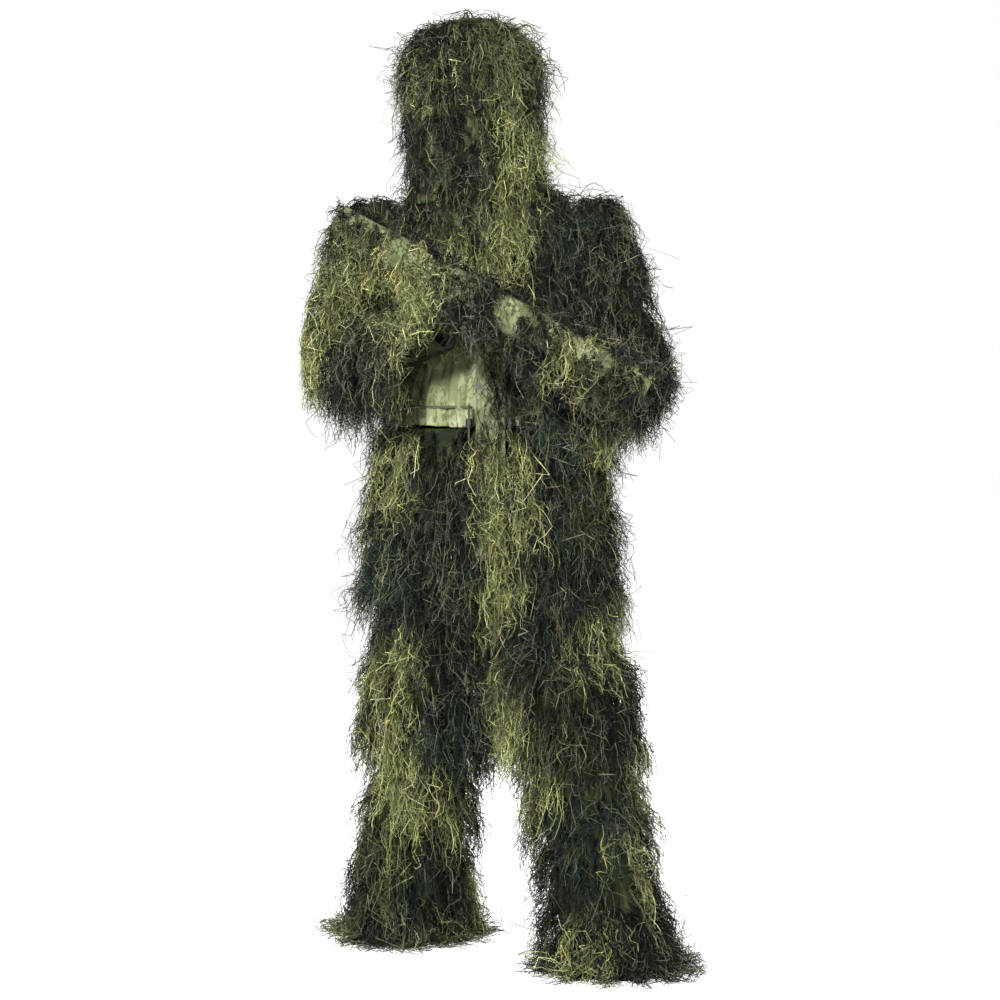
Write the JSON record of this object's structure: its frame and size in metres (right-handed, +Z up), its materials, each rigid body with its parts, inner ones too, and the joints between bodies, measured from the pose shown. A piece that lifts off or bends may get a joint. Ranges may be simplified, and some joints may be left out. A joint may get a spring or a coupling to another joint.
{
  "type": "ghillie suit",
  "caption": "Standing ghillie suit: hooded zip jacket with face veil, trousers and a fabric sleeve for a long tool, all covered in hanging green and dark camouflage yarn.",
  "frame": {"origin": "on the ground, in the middle of the footprint of the whole suit", "axes": "+Z up; the wearer faces -Y; +X is the wearer's left"},
  "size_m": [0.7534, 0.7505, 1.816],
  "materials": {
    "shell_cloth": "matte",
    "print_cloth": "matte",
    "mesh_cloth": "matte",
    "dark_yarn": "matte",
    "green_yarn": "matte",
    "webbing": "matte",
    "cord": "matte",
    "elastic": "matte",
    "lock_plastic": "satin",
    "zip_metal": "satin",
    "snap_metal": "satin"
  },
  "bodies": {
    "trousers": {"seat_panel": "shell_cloth", "waistband": "webbing"},
    "jacket": {"back_panel": "shell_cloth", "front_panel_right": "shell_cloth", "front_panel_left": "shell_cloth", "belly_panel_right": "print_cloth", "belly_panel_left": "print_cloth", "shoulder_yoke": "shell_cloth", "collar_band": "shell_cloth", "hanger_loop": "webbing", "skirt_panel": "shell_cloth", "zip_tapes": "webbing", "zip_teeth": "zip_metal", "snap_studs": "snap_metal", "waist_drawcord": "cord", "hem_drawcord": "cord", "chest_fringe": "green_yarn", "back_fringe": "dark_yarn", "waist_fringe": "green_yarn", "hip_fringe": "dark_yarn"},
    "storm_flap": {"storm_flap": "shell_cloth", "flap_snaps": "snap_metal"},
    "zip_slider": {"zip_slider": "zip_metal"},
    "zip_pull": {"zip_pull": "cord"},
    "waist_lock_right": {"waist_lock_right": "lock_plastic"},
    "waist_lock_left": {"waist_lock_left": "lock_plastic"},
    "hood": {"hood_shell": "shell_cloth", "hood_binding": "webbing", "hood_drawcord": "cord", "hood_fringe": "dark_yarn"},
    "hood_lock": {"hood_lock": "lock_plastic"},
    "veil": {"veil_mesh": "mesh_cloth", "veil_fringe": "green_yarn"},
    "rifle_wrap": {"wrap_sleeve": "print_cloth", "wrap_bands": "elastic", "wrap_fringe": "dark_yarn"},
    "thigh_right": {"thigh_panel_right": "shell_cloth", "thigh_fringe_right": "dark_yarn", "knee_gusset_right": "green_yarn"},
    "shin_right": {"shin_panel_right": "shell_cloth", "shin_fringe_right": "dark_yarn", "hem_elastic_right": "elastic"},
    "upper_arm_right": {"upper_sleeve_right": "shell_cloth", "upper_fringe_right": "dark_yarn", "elbow_gusset_right": "green_yarn"},
    "forearm_right": {"forearm_sleeve_right": "shell_cloth", "forearm_fringe_right": "dark_yarn", "cuff_elastic_right": "elastic"},
    "thigh_left": {"thigh_panel_left": "shell_cloth", "thigh_fringe_left": "dark_yarn", "knee_gusset_left": "green_yarn"},
    "shin_left": {"shin_panel_left": "shell_cloth", "shin_fringe_left": "dark_yarn", "hem_elastic_left": "elastic"},
    "upper_arm_left": {"upper_sleeve_left": "shell_cloth", "upper_fringe_left": "dark_yarn", "elbow_gusset_left": "green_yarn"},
    "forearm_left": {"forearm_sleeve_left": "shell_cloth", "forearm_fringe_left": "dark_yarn", "cuff_elastic_left": "elastic"}
  },
  "joints": [
    {"name": "hip_right", "type": "hinge", "parent": "trousers", "child": "thigh_right", "pos_m": [-0.02334, 0.11768, 0.88], "axis": [-1, 0, 0], "range_deg": [-15, 25], "deforming": ["skirt_panel", "hip_fringe", "hem_drawcord"]},
    {"name": "knee_right", "type": "hinge", "parent": "thigh_right", "child": "shin_right", "pos_m": [-0.14134, 0.13768, 0.485], "axis": [1, 0, 0], "range_deg": [0, 45], "deforming": ["knee_gusset_right"]},
    {"name": "hip_left", "type": "hinge", "parent": "trousers", "child": "thigh_left", "pos_m": [-0.02334, 0.11768, 0.88], "axis": [-1, 0, 0], "range_deg": [-15, 25]},
    {"name": "knee_left", "type": "hinge", "parent": "thigh_left", "child": "shin_left", "pos_m": [0.12666, 0.05768, 0.485], "axis": [1, 0, 0], "range_deg": [0, 45], "deforming": ["knee_gusset_left"]},
    {"name": "jacket_lift", "type": "slide", "parent": "trousers", "child": "jacket", "axis": [0, 0, 1], "range_m": [0, 0.3]},
    {"name": "shoulder_right", "type": "hinge", "parent": "jacket", "child": "upper_arm_right", "pos_m": [-0.24634, 0.11768, 1.4], "axis": [0, 1, 0], "range_deg": [0, 40]},
    {"name": "elbow_right", "type": "hinge", "parent": "upper_arm_right", "child": "forearm_right", "pos_m": [-0.25138, 0.02419, 1.21992], "axis": [0.6417, 0.6732, -0.3674], "range_deg": [0, 50], "deforming": ["elbow_gusset_right"]},
    {"name": "shoulder_left", "type": "hinge", "parent": "jacket", "child": "upper_arm_left", "pos_m": [0.18266, 0.11768, 1.4], "axis": [0, -1, 0], "range_deg": [0, 40]},
    {"name": "elbow_left", "type": "hinge", "parent": "upper_arm_left", "child": "forearm_left", "pos_m": [0.19153, -0.01221, 1.1932], "axis": [0.8237, -0.4636, 0.3265], "range_deg": [0, 50], "deforming": ["elbow_gusset_left"]},
    {"name": "storm_flap_open", "type": "hinge", "parent": "jacket", "child": "storm_flap", "pos_m": [0.00666, -0.05848, 0.76771], "axis": [0, 0.0599, 0.9982], "range_deg": [0, 80]},
    {"name": "zip_travel", "type": "slide", "parent": "jacket", "child": "zip_slider", "axis": [0, 0.0599, 0.9982], "range_m": [-0.5, 0]},
    {"name": "zip_pull_swing", "type": "hinge", "parent": "zip_slider", "child": "zip_pull", "pos_m": [-0.02334, -0.01935, 1.32136], "axis": [-1, 0, 0], "range_deg": [0, 70]},
    {"name": "waist_lock_right_slide", "type": "slide", "parent": "jacket", "child": "waist_lock_right", "axis": [0, 0, 1], "range_m": [-0.03, 0.018]},
    {"name": "waist_lock_left_slide", "type": "slide", "parent": "jacket", "child": "waist_lock_left", "axis": [0, 0, 1], "range_m": [-0.03, 0.018]},
    {"name": "hood_fold", "type": "hinge", "parent": "jacket", "child": "hood", "pos_m": [-0.03134, 0.18768, 1.498], "axis": [-1, 0, 0], "range_deg": [0, 60]},
    {"name": "hood_lock_slide", "type": "slide", "parent": "hood", "child": "hood_lock", "axis": [0, 0, 1], "range_m": [-0.016, 0.022]},
    {"name": "veil_lift", "type": "hinge", "parent": "hood", "child": "veil", "pos_m": [-0.05634, -0.04832, 1.741], "axis": [-1, 0, 0], "range_deg": [0, 110]},
    {"name": "wrap_lift", "type": "slide", "parent": "jacket", "child": "rifle_wrap", "axis": [0, -1, 0], "range_m": [0, 0.3]}
  ]
}
